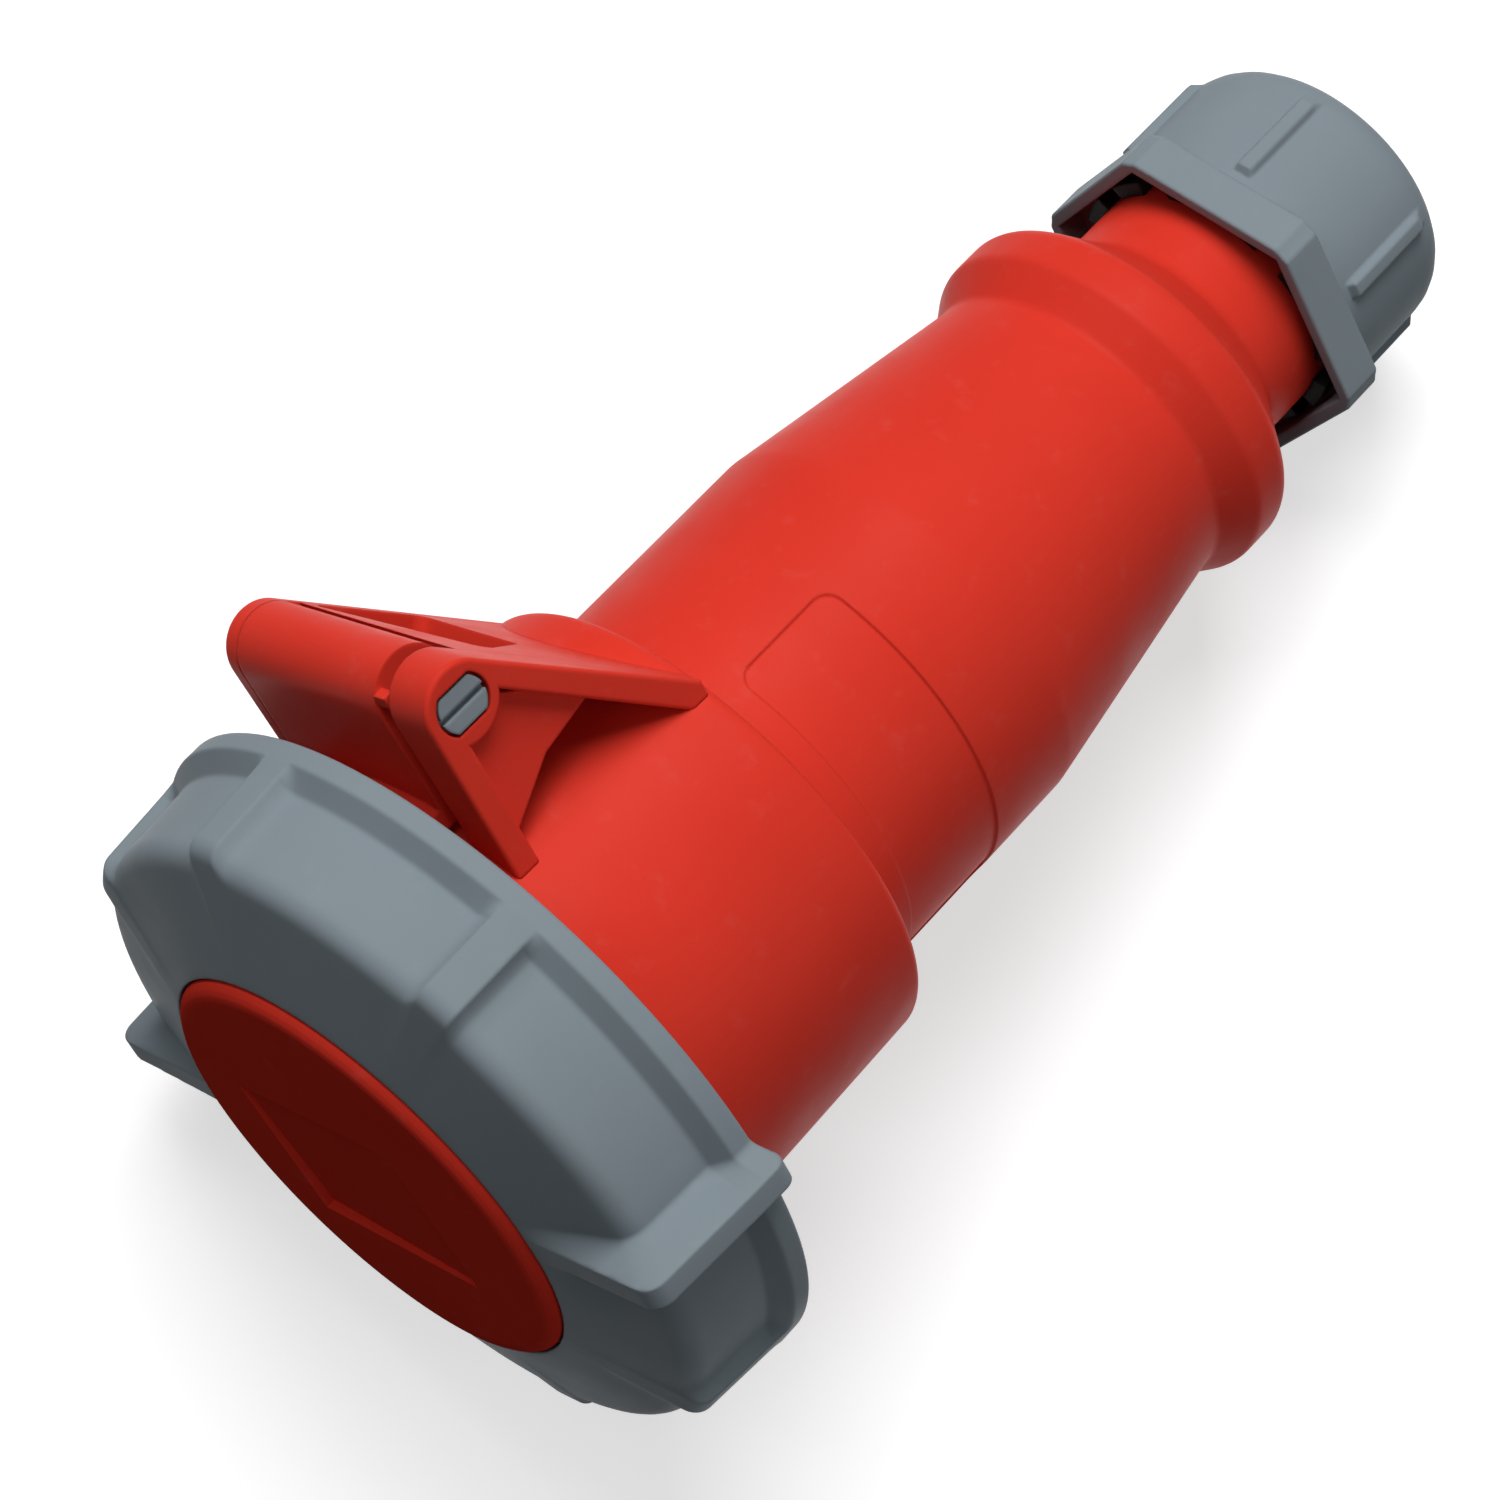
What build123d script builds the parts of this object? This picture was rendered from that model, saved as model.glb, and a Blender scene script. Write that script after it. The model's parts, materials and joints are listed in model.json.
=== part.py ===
from build123d import *
import math
import os

# Watertight round industrial connector, five contacts, lid closed.
# Millimetres. Modelled on its own axis first: Y runs from the lid to the gland,
# Z points to the hinge, and y = 0 is the rear rim of the front housing.
# Angles round the axis start at the hinge side (+Z) and grow towards +X.

# Front housing and its mating collar
housing_rear_radius = 34.4
housing_draft = 0.0165
housing_rim_round = 1.4
collar_length = 50.6
collar_inner_radius = 32.3
socket_floor_setback = 17.0
shoulder_thickness = 3.0
shoulder_inner_radius = 25.4
rear_bore_radius = 31.2
keyway_width = 8.0
keyway_depth = 1.6
lug_radius = 38.6
lug_width = 6.0
lug_length = 3.5
lug_front_setback = 4.1
lug_chamfer = 1.2

# Hinge on the housing
hinge_ring_gap = 5.2
hinge_z = 50.8
hinge_near_x = 22.0
hinge_far_x = -18.3
ear_radius = 5.2
near_ear_thickness = 7.0
far_ear_thickness = 3.0
near_side_draft = 1.6
far_side_draft = 0.5
bracket_edge_round = 0.5
far_edge_round = 1.2
arm_end_setback = 0.8
strut_width = 3.5
plate_foot_rise = 2.4
plate_thickness = 3.1
web_thickness = 2.0
web_recess = 2.6
web_foot_drop = 18.8
web_bend_drop = 13.8
web_bend_back = 6.5
web_top_back = 10.8
barrel_clearance = 0.6
window_far_x = -14.8
window_near_x = 11.4
window_near_lean = 7.6
window_front_gap = 3.6
window_front_lean = 6.4
window_length = 16.6
window_corner = 1.6

# Hinge pin
pin_radius = 2.0
pin_running_gap = 0.05
pin_head_radius = 3.35
pin_head_flat = 2.5
pin_head_thickness = 1.6
pin_head_recess = 0.3
pin_pocket_gap = 0.4
pin_slot_width = 0.9
pin_slot_depth = 0.7
pin_end_setback = 0.6

# Lid
lid_gap = 0.3
gasket_thickness = 1.6
gasket_inner_radius = 31.8
gasket_outer_radius = 36.0
dish_thickness = 2.8
dish_radius = 38.5
arm_inner_radius = 36.3
arm_outer_radius = 38.7
arm_plate_thickness = 3.2
barrel_left_gap = 0.15
barrel_right_gap = 2.7
end_nub_size = 1.5
cap_radius = 30.3
cap_thickness = 1.6
cap_edge_round = 1.3
cap_face_radius = 27.6
cap_face_depth = 0.5
cap_hub_radius = 25.6
cap_pocket_depth = 0.7
cap_pocket_size = 20.5
cap_pocket_turn_deg = -11.0
cap_pocket_x = -5.5
cap_pocket_z = -4.5

# Bayonet ring
ring_wall_front = 3.0
ring_hub_gap = 0.4
ring_inner_radius = 39.4
ring_band_front_radius = 43.7
ring_band_rear_radius = 42.9
ring_shoulder_round = 3.6
flange_radius = 49.0
flange_thickness = 2.9
flange_edge_round = 0.6
ring_rear_margin = 1.3
rib_count = 8
rib_width = 5.0
rib_front_radius = 47.8
rib_front_round = 3.0
wing_front_radius = 51.8
wing_rear_radius = 52.9
wing_thickness = 5.0
wing_lean_deg = 2.6
wing_front_rise = 1.7
wing_start_radius = 31.2
wing_rear_overhang = 0.9
wing_corner_round = 1.8
wing_edge_round = 1.4
ramp_inner_radius = 37.1
ramp_thickness = 3.0
ramp_span_deg = 22.0
lock_angle_deg = 28.0

# Rear sleeve
sleeve_radius = 28.35
sleeve_wall = 2.65
sleeve_straight = 36.0
taper_end_y = 73.0
taper_end_radius = 22.9
grip_radius = 25.9
grip_front_y = 77.8
grip_rear_y = 83.2
grip_round = 2.4
neck_radius = 17.4
neck_start_y = 91.0
spigot_gap = 0.2
spigot_inner_radius = 27.6
neck_end_y = 112.0
thread_radius = 16.6
thread_start_y = 104.0
seal_seat_y = 97.0
seal_bore_radius = 15.0
cable_way_radius = 13.2
field_depth = 0.25
field_front_y = 5.5
field_rear_y = 21.8
field_start_deg = 35.0
field_end_deg = 145.0
field_corner_round = 2.4
o_ring_section = 1.5
o_ring_setback = 4.0

# Contact carrier and contacts
carrier_radius = 25.0
carrier_setback = 3.6
carrier_flange_radius = 30.9
carrier_flange_thickness = 4.0
contact_circle_radius = 16.5
contact_count = 5
earth_angle_deg = 180.0
phase_bore_radius = 3.05
earth_bore_radius = 4.05
contact_wall = 1.35
entry_gap = 0.25
entry_thickness = 2.2
contact_floor_setback = 4.8
cavity_gap = 0.1
spring_width = 2.4
spring_depth = 0.45
spring_setback = 3.0
shank_radius = 2.8
cover_radius = 24.6
cover_front_wall = 6.2
cover_rear_wall = 3.0
block_size = 9.0
block_length = 15.0
block_gap = 0.2
wire_hole_radius = 2.9
wire_hole_depth = 10.5
terminal_screw_radius = 1.9
terminal_screw_length = 5.5
terminal_screw_setback = 4.7
terminal_screw_proud = 1.2
carrier_screw_radius = 1.4
carrier_screw_head_radius = 2.5
carrier_screw_head = 1.8
carrier_screw_circle = 19.0
carrier_screw_angles = (72.0, 288.0)
carrier_screw_bite = 9.0

# Gland
cage_gap = 0.1
cage_radius = 19.5
cage_front_y = 100.9
cage_length = 4.4
cage_teeth = 12
cage_slot_width = 4.4
cage_slot_depth = 2.8
seal_gap = 0.2
seal_inner_radius = 10.5
seal_proud = 0.8
washer_gap = 0.3
washer_thickness = 1.5
washer_inner_radius = 12.6
washer_outer_radius = 16.2
thread_gap = 0.3
skirt_front_y = 99.0
skirt_length = 6.4
skirt_apothem = 21.5
skirt_wall = 1.8
skirt_corner_cut = 0.7
nut_edge_round = 0.6
dome_radius = 20.5
nut_rear_y = 127.2
dome_round = 6.2
dome_rib_width = 2.3
dome_rib_height = 1.0
dome_rib_start = 1.6
dome_rib_length = 14.6
dome_rib_angle = 30.0
nut_sides = 6
nut_mouth_round = 1.0

# Places worked out from the sizes above
collar_front_y = -collar_length
shoulder_front_y = -socket_floor_setback
shoulder_rear_y = shoulder_front_y + shoulder_thickness
gasket_rear_y = collar_front_y - lid_gap
dish_rear_y = gasket_rear_y - gasket_thickness
dish_front_y = dish_rear_y - dish_thickness
ring_front_inside_y = dish_front_y - lid_gap
ring_front_y = ring_front_inside_y - ring_wall_front
cap_rear_y = ring_front_y - lid_gap
cap_front_y = cap_rear_y - cap_thickness
lug_front_y = collar_front_y + lug_front_setback
lug_rear_y = lug_front_y + lug_length
ramp_front_y = lug_rear_y + lid_gap
ramp_rear_y = ramp_front_y + ramp_thickness
ring_rear_y = ramp_rear_y + ring_rear_margin
flange_front_y = ring_rear_y - flange_thickness
hinge_y = ring_rear_y + hinge_ring_gap + ear_radius
carrier_front_y = collar_front_y + carrier_setback
carrier_rear_y = shoulder_rear_y
spigot_front_y = shoulder_rear_y + carrier_flange_thickness
o_ring_y = -o_ring_setback
contact_front_y = carrier_front_y + entry_thickness
contact_floor_y = carrier_rear_y - contact_floor_setback
contact_bore_depth = contact_floor_y - contact_front_y
block_front_y = carrier_rear_y + cover_front_wall
block_rear_y = block_front_y + block_length
terminal_screw_y = block_rear_y - terminal_screw_setback
cover_rear_y = block_rear_y + block_gap + cover_rear_wall
skirt_rear_y = skirt_front_y + skirt_length
seal_rear_y = neck_end_y + seal_proud
washer_front_y = seal_rear_y + washer_gap
washer_rear_y = washer_front_y + washer_thickness
near_ear_inner_x = hinge_near_x - near_ear_thickness
far_ear_inner_x = hinge_far_x + far_ear_thickness
barrel_left_x = far_ear_inner_x + barrel_left_gap
barrel_right_x = near_ear_inner_x - barrel_right_gap
arm_front_y = hinge_y - ear_radius
arm_rear_y = arm_front_y + arm_plate_thickness
plate_foot_z = math.sqrt(housing_rear_radius ** 2 - hinge_near_x ** 2) + plate_foot_rise
slope = math.atan2(hinge_z - plate_foot_z, -hinge_y) + math.asin(ear_radius / math.hypot(hinge_z - plate_foot_z, hinge_y))
plate_top_y = hinge_y + ear_radius * math.sin(slope)
plate_top_z = hinge_z + ear_radius * math.cos(slope)
full_turn = 360.0
contact_pitch_deg = full_turn / contact_count
skirt_corner_radius = skirt_apothem / math.cos(math.pi / nut_sides)


def housing_radius(y):
    """Outer radius of the drafted front housing at a place along the axis."""
    return housing_rear_radius - housing_draft * y


def around(radius, angle_deg, y=0.0):
    """Place at an angle round the axis."""
    angle = math.radians(angle_deg)
    return Pos(radius * math.sin(angle), y, radius * math.cos(angle))


def turn(angle_deg):
    """Turn about the connector's axis from the hinge side towards +X."""
    return Rot(0, angle_deg, 0)


def section(points, corners=()):
    """Half section from (radius, y) points, with the named corners rounded."""
    outline = make_face(Polyline(*points, close=True))
    for corner, radius in corners:
        nearest = outline.vertices().sort_by_distance(Vector(*corner))[0]
        outline = fillet(nearest, radius)
    return outline


def turned(points, corners=()):
    """Solid of revolution about the axis."""
    return revolve(section(points, corners), axis=Axis.Y, revolution_arc=full_turn)


def sector(points, start_deg, span_deg, corners=()):
    """Part of a solid of revolution, from one angle over a span."""
    piece = revolve(section(points, corners), axis=Axis.Y, revolution_arc=span_deg)
    return turn(start_deg - 90) * piece


def rod(radius, y_start, y_end):
    """Round bar along the axis between two places."""
    length = y_end - y_start
    return Pos(0, y_start, 0) * extrude(Plane.XZ * Circle(radius), amount=-length)


def cross_rod(radius, x_start, x_end, y, z):
    """Round bar along X, as at the hinge."""
    return extrude(Plane.YZ.offset(x_start) * (Pos(y, z) * Circle(radius)), amount=x_end - x_start)


def side_plate(points, x_start, x_end):
    """Flat piece with an outline of (y, z) points, between two X places."""
    outline = Plane.YZ.offset(x_start) * make_face(Polyline(*points, close=True))
    return extrude(outline, amount=x_end - x_start)


def block(x_start, x_end, y_start, y_end, z_start, z_end):
    """Box between two corners."""
    size = (x_end - x_start, y_end - y_start, z_end - z_start)
    middle = ((x_start + x_end) / 2, (y_start + y_end) / 2, (z_start + z_end) / 2)
    return Pos(*middle) * Box(*size)


def plate_line_z(y, depth=0.0):
    """Height of the sloped hinge plate over a place, at a depth under its top."""
    return plate_top_z - (y - plate_top_y) * math.tan(slope) - depth / math.cos(slope)


def hinge_side(outer_x, thickness, draft, edge_round):
    """Ear, strut, sloped arm and thin web on one side of the hinge, drafted towards the housing."""
    inner_x = outer_x - thickness
    base_z = math.sqrt(housing_rear_radius ** 2 - outer_x ** 2) - plate_thickness
    strut_rear = arm_front_y + strut_width
    strut = Polyline((arm_front_y, base_z), (strut_rear, base_z), (strut_rear, hinge_z), (arm_front_y, hinge_z), close=True)
    outline = Pos(hinge_y, hinge_z) * Circle(ear_radius) + make_face(strut) + make_face(Polyline(*arm_section(), close=True))
    side = extrude(Plane.YZ.offset(inner_x) * outline, amount=thickness)
    top_z = hinge_z + ear_radius
    foot_z = base_z - plate_thickness
    relief = make_face(Polyline(
        (outer_x, top_z), (outer_x + 1, top_z), (outer_x + 1, foot_z), (outer_x - draft, foot_z), close=True))
    side = side - extrude(Plane.XZ * relief, amount=-arm_front_y + 1, both=True)
    side = fillet(largest_face(side).edges(), edge_round)
    web_x = outer_x - min(web_recess, thickness / 2)
    web_foot_z = hinge_z - web_foot_drop
    top_back_y = plate_top_y + web_top_back
    web_points = [
        (hinge_y, hinge_z),
        (arm_front_y + strut_width / 2, web_foot_z),
        (strut_rear, web_foot_z),
        (hinge_y + web_bend_back, hinge_z - web_bend_drop),
        (top_back_y, plate_line_z(top_back_y, plate_thickness)),
        (top_back_y, plate_line_z(top_back_y, plate_thickness / 2)),
    ]
    web = side_plate(web_points, web_x - min(web_thickness, thickness / 2), web_x)
    return side + web - pin_hole()


def pin_hole():
    """Hole for the hinge pin, right through both ears."""
    return cross_rod(pin_radius, hinge_far_x, hinge_near_x, hinge_y, hinge_z)


def largest_face(body):
    """The flat face with the greatest area among those that look towards +X."""
    faces = [face for face in body.faces() if face.normal_at().X > 0.9]
    return max(faces, key=lambda face: face.area)


def arm_section():
    """Side outline of the sloped arm, which stops short of the rear rim."""
    end = -arm_end_setback
    return [
        (plate_top_y, plate_top_z),
        (end, plate_line_z(end)),
        (end, plate_line_z(0, plate_thickness)),
        (plate_top_y, plate_line_z(plate_top_y, plate_thickness)),
    ]


def sloped_section():
    """Side outline of the sloped plate, from the ears down to the rear rim."""
    return [
        (plate_top_y, plate_top_z),
        (0, plate_line_z(0)),
        (0, plate_line_z(0, plate_thickness)),
        (plate_top_y, plate_line_z(plate_top_y, plate_thickness)),
    ]


def hinge_plate():
    """Sloped plate between the ears, with its window."""
    plate = side_plate(sloped_section(), far_ear_inner_x, near_ear_inner_x)
    normal = (0, math.sin(slope), math.cos(slope))
    face = Plane(origin=(0, plate_top_y, plate_top_z), x_dir=(1, 0, 0), z_dir=normal)
    rear = window_front_gap + window_length
    outline = make_face(Polyline(
        (window_near_x, window_front_gap + window_front_lean), (window_far_x, window_front_gap),
        (window_far_x, rear), (window_near_x - window_near_lean, rear), close=True))
    outline = fillet(outline.vertices(), window_corner)
    opening = extrude(face * outline, amount=plate_thickness * 2, both=True)
    seat = cross_rod(ear_radius + barrel_clearance, far_ear_inner_x, near_ear_inner_x, hinge_y, hinge_z)
    return plate - opening - seat - outer_form()


def pin_pocket():
    """Double-D pocket for the pin's head in the near ear."""
    radius = pin_head_radius + pin_pocket_gap
    flat = pin_head_flat + pin_pocket_gap
    outline = Circle(radius) & Rectangle(radius * 2, flat * 2)
    depth = pin_head_thickness + pin_head_recess
    placed = Plane.YZ.offset(hinge_near_x) * (Pos(hinge_y, hinge_z) * outline)
    return extrude(placed, amount=-depth)


def bayonet_lug(angle_deg):
    """Lug outside the collar, with a lead-in at its front."""
    half = lug_width / 2
    base = collar_inner_radius + shoulder_thickness / 2
    points = [
        (base, lug_front_y), (lug_radius - lug_chamfer, lug_front_y),
        (lug_radius, lug_front_y + lug_chamfer), (lug_radius, lug_rear_y), (base, lug_rear_y),
    ]
    outline = make_face(Polyline(*points, close=True))
    lug = extrude(outline, amount=half, both=True)
    return turn(angle_deg - 90) * lug


def outer_form():
    """Drafted round form of the housing and its collar, before it is hollowed."""
    return turned(
        [(0, collar_front_y), (housing_radius(collar_front_y), collar_front_y),
         (housing_rear_radius, 0), (0, 0)],
        [((housing_rear_radius, 0), housing_rim_round)])


def near_hinge_side():
    """Near ear with the pocket for the pin's head, its strut and its arm."""
    side = hinge_side(hinge_near_x, near_ear_thickness, near_side_draft, bracket_edge_round)
    return side - pin_pocket() - outer_form()


def far_hinge_side():
    """Far ear with its strut and its arm, where the pin ends."""
    side = hinge_side(-hinge_far_x, far_ear_thickness, far_side_draft, far_edge_round)
    return mirror(side, about=Plane.YZ) - outer_form()


def bayonet_lugs():
    """Both lugs on the outside of the collar."""
    pieces = [bayonet_lug(angle) - outer_form() for angle in (90, 270)]
    return Compound(children=pieces)


def socket_collar():
    """Front of the housing, which the plug's sleeve slides into."""
    length = shoulder_front_y - collar_front_y
    keyway = block(-keyway_width / 2, keyway_width / 2, collar_front_y - 1, shoulder_front_y,
                   -(collar_inner_radius + keyway_depth), -collar_inner_radius + keyway_depth * 2)
    return (outer_form() & rod(collar_inner_radius * 2, collar_front_y, collar_front_y + length)
            ) - rod(collar_inner_radius, collar_front_y - 1, shoulder_front_y) - keyway


def front_housing():
    """Rear of the drafted shell, with the shoulder for the carrier."""
    hollow = turned(
        [(0, collar_front_y - 1), (shoulder_inner_radius, collar_front_y - 1),
         (shoulder_inner_radius, shoulder_rear_y), (rear_bore_radius, shoulder_rear_y),
         (rear_bore_radius, 1), (0, 1)])
    return (outer_form() & rod(collar_inner_radius * 2, shoulder_front_y, 1)) - hollow


def hinge_pin():
    """Pin with a slotted double-D head."""
    head_face_x = hinge_near_x - pin_head_recess
    shaft = cross_rod(pin_radius, hinge_far_x + pin_end_setback, head_face_x, hinge_y, hinge_z)
    outline = Circle(pin_head_radius) & Rectangle(pin_head_radius * 2, pin_head_flat * 2)
    placed = Plane.YZ.offset(head_face_x) * (Pos(hinge_y, hinge_z) * outline)
    head = extrude(placed, amount=-pin_head_thickness)
    slot = block(head_face_x - pin_slot_depth, head_face_x + 1,
                 hinge_y - pin_head_radius - 1, hinge_y + pin_head_radius + 1,
                 hinge_z - pin_slot_width / 2, hinge_z + pin_slot_width / 2)
    return shaft + head - slot


def lid_body():
    """Dish, arm that passes over the collar inside the ring, and hinge barrel."""
    dish = rod(dish_radius, dish_front_y, dish_rear_y)
    arm = rod(arm_outer_radius, dish_front_y, arm_rear_y) - rod(arm_inner_radius, dish_rear_y, arm_rear_y + 1)
    keep = block(barrel_left_x, barrel_right_x, dish_front_y, arm_rear_y, 0, arm_outer_radius + 1)
    arm = arm & keep
    upright = block(barrel_left_x, barrel_right_x, arm_front_y, arm_rear_y, arm_inner_radius / 2, hinge_z)
    upright = upright - rod(arm_inner_radius, arm_front_y - 1, arm_rear_y + 1)
    barrel = cross_rod(ear_radius, barrel_left_x, barrel_right_x, hinge_y, hinge_z)
    nub_y = hinge_y - ear_radius + end_nub_size * 0.9
    nub_z = hinge_z + end_nub_size * 1.5
    nub = block(barrel_right_x, barrel_right_x + barrel_right_gap - lid_gap * 2,
                nub_y - end_nub_size / 2, nub_y + end_nub_size / 2,
                nub_z - end_nub_size / 2, nub_z + end_nub_size / 2)
    bore = cross_rod(pin_radius + pin_running_gap, hinge_far_x, hinge_near_x, hinge_y, hinge_z)
    return dish + arm + upright + barrel + nub - bore


def lid_cap():
    """Front disc with a raised rounded rim, a shallow pocket and a hub."""
    disc = turned(
        [(0, cap_front_y + cap_face_depth), (cap_face_radius, cap_front_y + cap_face_depth),
         (cap_face_radius + cap_face_depth, cap_front_y), (cap_radius, cap_front_y),
         (cap_radius, cap_rear_y), (cap_hub_radius, cap_rear_y),
         (cap_hub_radius, dish_front_y), (0, dish_front_y)],
        [((cap_radius, cap_front_y), cap_edge_round)])
    pocket_plane = Plane(origin=(0, cap_front_y + cap_face_depth, 0), x_dir=(1, 0, 0), z_dir=(0, -1, 0))
    outline = Pos(cap_pocket_x, cap_pocket_z) * Rot(0, 0, cap_pocket_turn_deg) * Rectangle(cap_pocket_size, cap_pocket_size)
    pocket = extrude(pocket_plane * outline, amount=-cap_pocket_depth)
    return disc - pocket


def lid_gasket():
    """Flat seal that meets the collar's rim."""
    return rod(gasket_outer_radius, dish_rear_y, gasket_rear_y) - rod(gasket_inner_radius, dish_rear_y, gasket_rear_y)


def ring_rib():
    """Straight rib along the band, at the hinge side."""
    points = [
        (ring_inner_radius + 1, flange_front_y), (flange_radius - 0.2, flange_front_y),
        (rib_front_radius, ring_front_y), (ring_inner_radius + 1, ring_front_y),
    ]
    outline = section(points, [((rib_front_radius, ring_front_y), rib_front_round)])
    rib = extrude(outline, amount=rib_width / 2, both=True)
    return turn(-90) * rib


def ring_wing():
    """Tall grip wing, level with the middle of the ring's face."""
    front = ring_front_y - wing_front_rise
    rear = ring_rear_y + wing_rear_overhang
    points = [
        (wing_start_radius, ring_front_y + 1), (wing_start_radius, ring_front_y), (wing_front_radius, front),
        (wing_rear_radius, rear), (ring_inner_radius + 2, rear), (ring_inner_radius + 2, ring_front_y + 1),
    ]
    outline = section(points, [((wing_front_radius, front), wing_corner_round),
                               ((wing_rear_radius, rear), wing_corner_round)])
    wing = extrude(outline, amount=wing_thickness / 2, both=True)
    limit = wing_rear_radius - wing_corner_round * 2
    outer = [edge for edge in wing.edges()
             if edge.center().X > limit and abs(edge.center().Z) > wing_thickness / 2 - 0.01]
    return fillet(outer, wing_edge_round)


def bayonet_ring():
    """Ring with front wall, ribbed band, rear flange, wings and inner ramps."""
    body = turned(
        [(cap_hub_radius + ring_hub_gap, ring_front_y), (ring_band_front_radius, ring_front_y),
         (ring_band_rear_radius, flange_front_y), (flange_radius, flange_front_y),
         (flange_radius, ring_rear_y), (ring_inner_radius, ring_rear_y),
         (ring_inner_radius, ring_front_inside_y), (cap_hub_radius + ring_hub_gap, ring_front_inside_y)],
        [((ring_band_front_radius, ring_front_y), ring_shoulder_round),
         ((flange_radius, flange_front_y), flange_edge_round),
         ((flange_radius, ring_rear_y), flange_edge_round)])
    rib = ring_rib()
    for index in range(rib_count):
        angle = index * full_turn / rib_count
        if angle not in (90, 270):
            body = body + turn(angle) * rib
    wing = ring_wing()
    for angle in (0, 180):
        body = body + turn(angle + wing_lean_deg) * wing
    ramp_points = [
        (ramp_inner_radius, ramp_front_y), (ring_inner_radius + 1, ramp_front_y),
        (ring_inner_radius + 1, ramp_rear_y), (ramp_inner_radius, ramp_rear_y)]
    for angle in (90, 270):
        start = angle - lock_angle_deg - ramp_span_deg / 2
        body = body + sector(ramp_points, start, ramp_span_deg)
    return body


def rear_sleeve():
    """Screwed-in rear housing: spigot, straight part, taper, grip flange and neck."""
    spigot_radius = rear_bore_radius - spigot_gap
    taper_wall_radius = taper_end_radius - sleeve_wall
    outer = [
        (spigot_inner_radius, spigot_front_y), (spigot_radius, spigot_front_y),
        (spigot_radius, 0), (sleeve_radius, 0), (sleeve_radius, sleeve_straight),
        (taper_end_radius, taper_end_y), (grip_radius, grip_front_y), (grip_radius, grip_rear_y),
        (neck_radius, neck_start_y), (neck_radius, thread_start_y), (thread_radius, thread_start_y),
        (thread_radius, neck_end_y), (seal_bore_radius, neck_end_y), (seal_bore_radius, seal_seat_y),
        (cable_way_radius, seal_seat_y), (cable_way_radius, neck_start_y),
        (taper_wall_radius, taper_end_y), (sleeve_radius - sleeve_wall, sleeve_straight),
        (sleeve_radius - sleeve_wall, 0), (spigot_inner_radius, -2),
    ]
    body = turned(outer, [
        ((grip_radius, grip_front_y), grip_round), ((grip_radius, grip_rear_y), grip_round),
        ((taper_end_radius, taper_end_y), 1.8), ((sleeve_radius, sleeve_straight), 8.0),
        ((neck_radius, neck_start_y), 3.0)])
    groove_depth = o_ring_section + spigot_gap / 2
    groove = rod(rear_bore_radius + 1, o_ring_y - o_ring_section, o_ring_y + o_ring_section)
    groove = groove - rod(rear_bore_radius - groove_depth, o_ring_y - o_ring_section, o_ring_y + o_ring_section)
    field = sector(
        [(sleeve_radius - field_depth, field_front_y), (sleeve_radius + 1, field_front_y),
         (sleeve_radius + 1, field_rear_y), (sleeve_radius - field_depth, field_rear_y)],
        field_start_deg, field_end_deg - field_start_deg)
    corner_edges = [edge for edge in field.edges() if edge.length < field_depth + 1.2]
    field = fillet(corner_edges, field_corner_round)
    return body - groove - field


def joint_o_ring():
    """Seal in the spigot's groove."""
    middle = rear_bore_radius - spigot_gap / 2 - o_ring_section / 2
    profile = Pos(middle, o_ring_y) * Circle(o_ring_section / 2)
    return revolve(profile, axis=Axis.Y, revolution_arc=full_turn)


def contact_sizes():
    """Angle and bore radius of each contact, the earth first."""
    sizes = []
    for index in range(contact_count):
        radius = earth_bore_radius if index == 0 else phase_bore_radius
        sizes.append((earth_angle_deg + index * contact_pitch_deg, radius))
    return sizes


def carrier_screw_holes(body, radius, y_start, y_end):
    """Takes the holes for the carrier's screws out of a body."""
    for angle in carrier_screw_angles:
        body = body - around(carrier_screw_circle, angle) * rod(radius, y_start, y_end)
    return body


def contact_carrier():
    """Insulating body with a cavity and an entry for each contact."""
    body = rod(carrier_radius, carrier_front_y, carrier_rear_y)
    for angle, radius in contact_sizes():
        cavity = rod(radius + contact_wall + cavity_gap, contact_front_y, carrier_rear_y + 1)
        entry = rod(radius + entry_gap, carrier_front_y - 1, contact_front_y)
        body = body - around(contact_circle_radius, angle) * (cavity + entry)
    return carrier_screw_holes(body, carrier_screw_radius, carrier_rear_y - carrier_screw_bite, carrier_rear_y + 1)


def carrier_cover():
    """Rear half of the carrier: flange behind the shoulder, and a chamber for each terminal."""
    body = rod(cover_radius, carrier_rear_y, cover_rear_y)
    body = body + rod(carrier_flange_radius, carrier_rear_y, spigot_front_y)
    half = block_size / 2 + block_gap
    for angle, radius in contact_sizes():
        chamber = block(-half, half, block_front_y - block_gap, block_rear_y + block_gap,
                        contact_circle_radius - half, cover_radius + 1)
        shank_hole = rod(shank_radius + block_gap, carrier_rear_y - 1, block_front_y)
        wire_hole = rod(wire_hole_radius + block_gap, block_rear_y, cover_rear_y + 1)
        holes = Pos(0, 0, contact_circle_radius) * (shank_hole + wire_hole)
        body = body - turn(angle) * (chamber + holes)
    return carrier_screw_holes(body, carrier_screw_radius, carrier_rear_y - 1, cover_rear_y + 1)


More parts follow.
